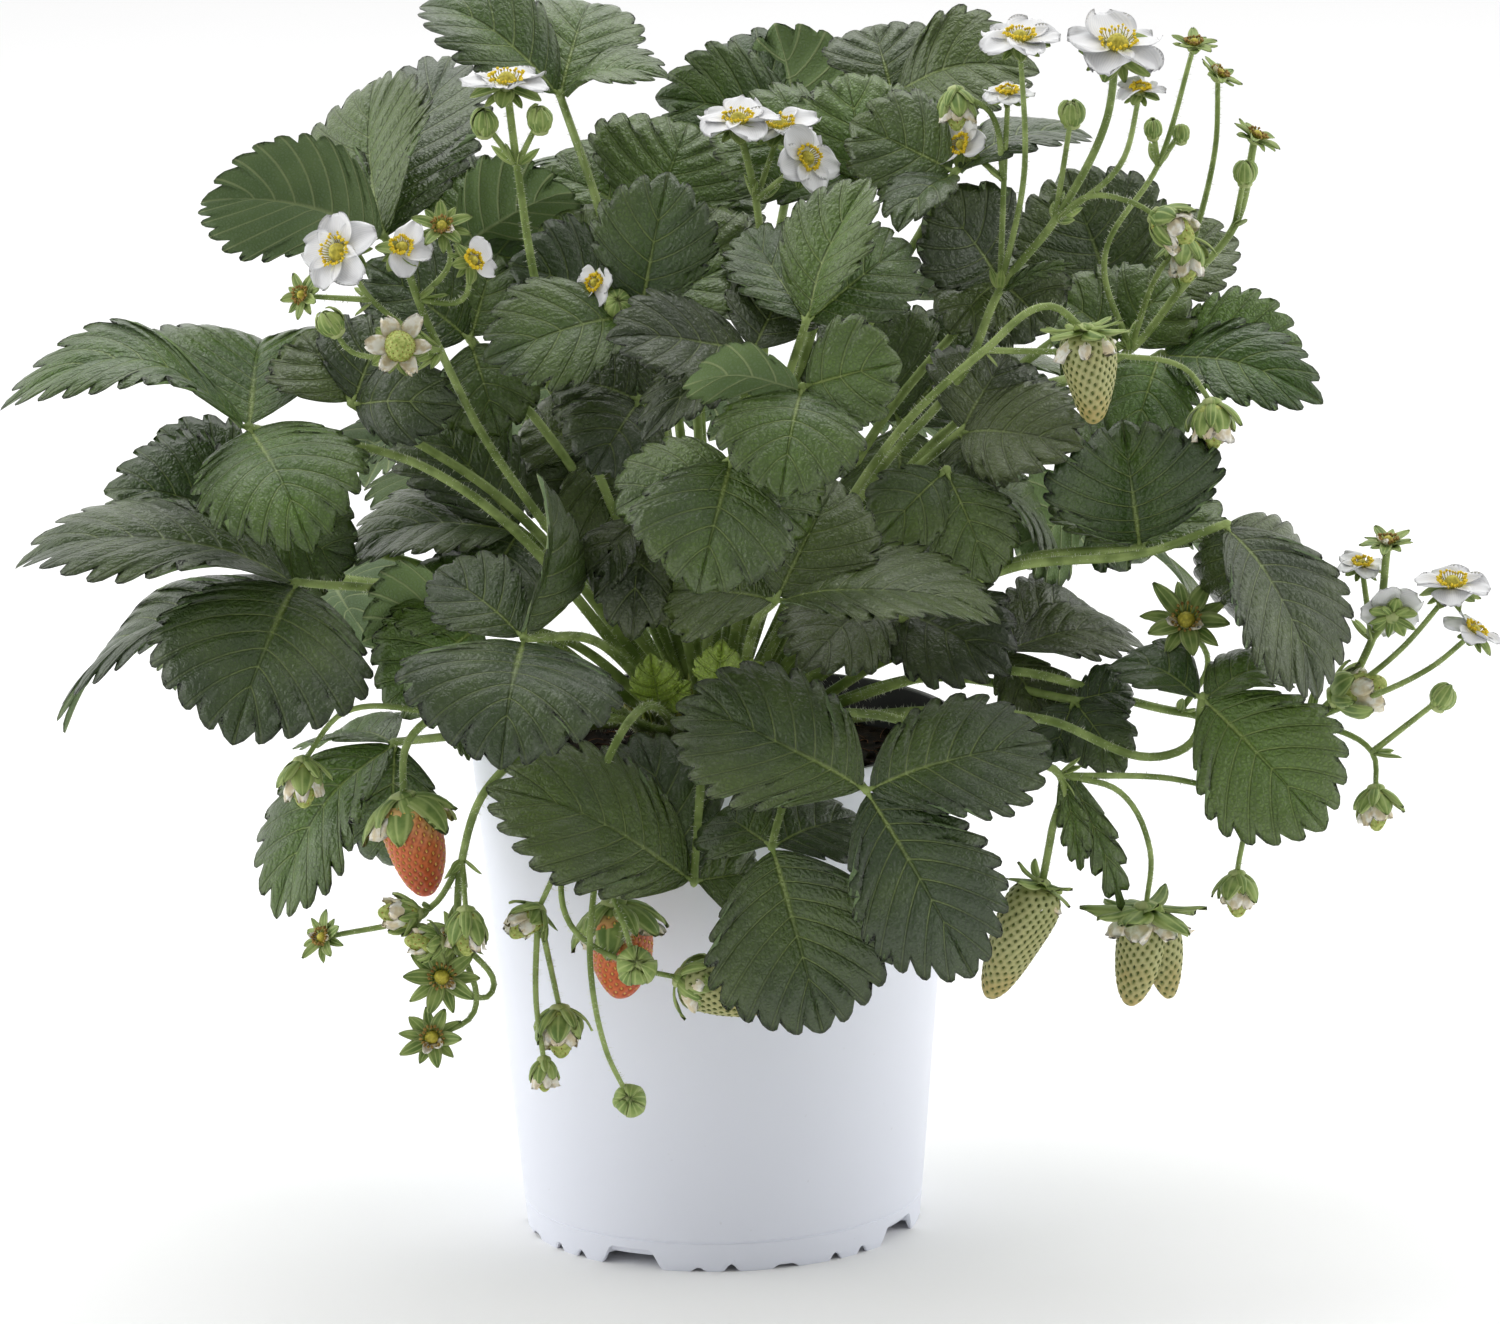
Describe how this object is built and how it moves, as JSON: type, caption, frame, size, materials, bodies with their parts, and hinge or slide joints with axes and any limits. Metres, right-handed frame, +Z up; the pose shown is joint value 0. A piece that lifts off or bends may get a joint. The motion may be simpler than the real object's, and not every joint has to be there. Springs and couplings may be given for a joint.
{
  "type": "strawberry plant",
  "caption": "Potted strawberry plant in flower and fruit, standing in a tapered round nursery pot with a low drained skirt.",
  "frame": {"origin": "on the pot's axis, on the surface that the pot stands on", "axes": "+Z up along the pot's axis, +Y away from the viewer of the picture, +X to the viewer's right, along the plant's widest spread"},
  "size_m": [0.4803, 0.3714, 0.4169],
  "materials": {
    "pot": "satin",
    "potting_mix": "matte",
    "crown": "matte",
    "leaf": "satin",
    "stalk": "matte",
    "ripe_fruit": "satin",
    "green_fruit": "satin",
    "petal": "matte"
  },
  "bodies": {
    "root": {"pot": "pot", "potting_mix": "potting_mix", "crown": "crown", "leaf_front_right": "leaf", "leaf_front_low": "leaf", "leaf_front_left": "leaf", "leaf_left_front": "leaf", "leaf_left_low": "leaf", "leaf_left_mid": "leaf", "leaf_left_high": "leaf", "leaf_left_pale": "leaf", "leaf_top": "leaf", "leaf_centre_high": "leaf", "leaf_centre_dark": "leaf", "leaf_centre": "leaf", "leaf_centre_low": "leaf", "leaf_upright": "leaf", "leaf_high_right": "leaf", "leaf_top_right": "leaf", "leaf_top_middle": "leaf", "leaf_middle_back": "leaf", "leaf_right_dark": "leaf", "leaf_right_bright": "leaf", "leaf_right_folded": "leaf", "leaf_right_far": "leaf", "leaf_right_low": "leaf", "leaf_centre_wide": "leaf", "leaf_right_small": "leaf", "leaf_right_shade": "leaf", "leaf_middle_shade": "leaf", "leaf_left_shade": "leaf", "leaf_left_hanging": "leaf", "leaf_back_1": "leaf", "leaf_back_2": "leaf", "leaf_back_3": "leaf", "leaf_back_4": "leaf", "leaf_back_5": "leaf", "leaf_back_6": "leaf", "truss_left_high": "stalk", "truss_top_left": "stalk", "truss_top_middle": "stalk", "truss_right_high": "stalk", "truss_right_back": "stalk", "truss_right_fruit": "stalk", "truss_right_far": "stalk", "truss_right_low": "stalk", "truss_left_low": "stalk", "truss_front_left": "stalk", "truss_front": "stalk", "truss_back": "stalk", "fruit_green_high": "green_fruit", "fruit_red_left": "ripe_fruit", "fruit_red_front": "ripe_fruit", "fruit_green_front": "green_fruit", "fruit_green_right": "green_fruit", "fruit_green_pair": "green_fruit", "flower_left": "petal", "flower_top_left": "petal", "flower_top_right": "petal", "flower_far_right": "petal"}
  },
  "joints": []
}
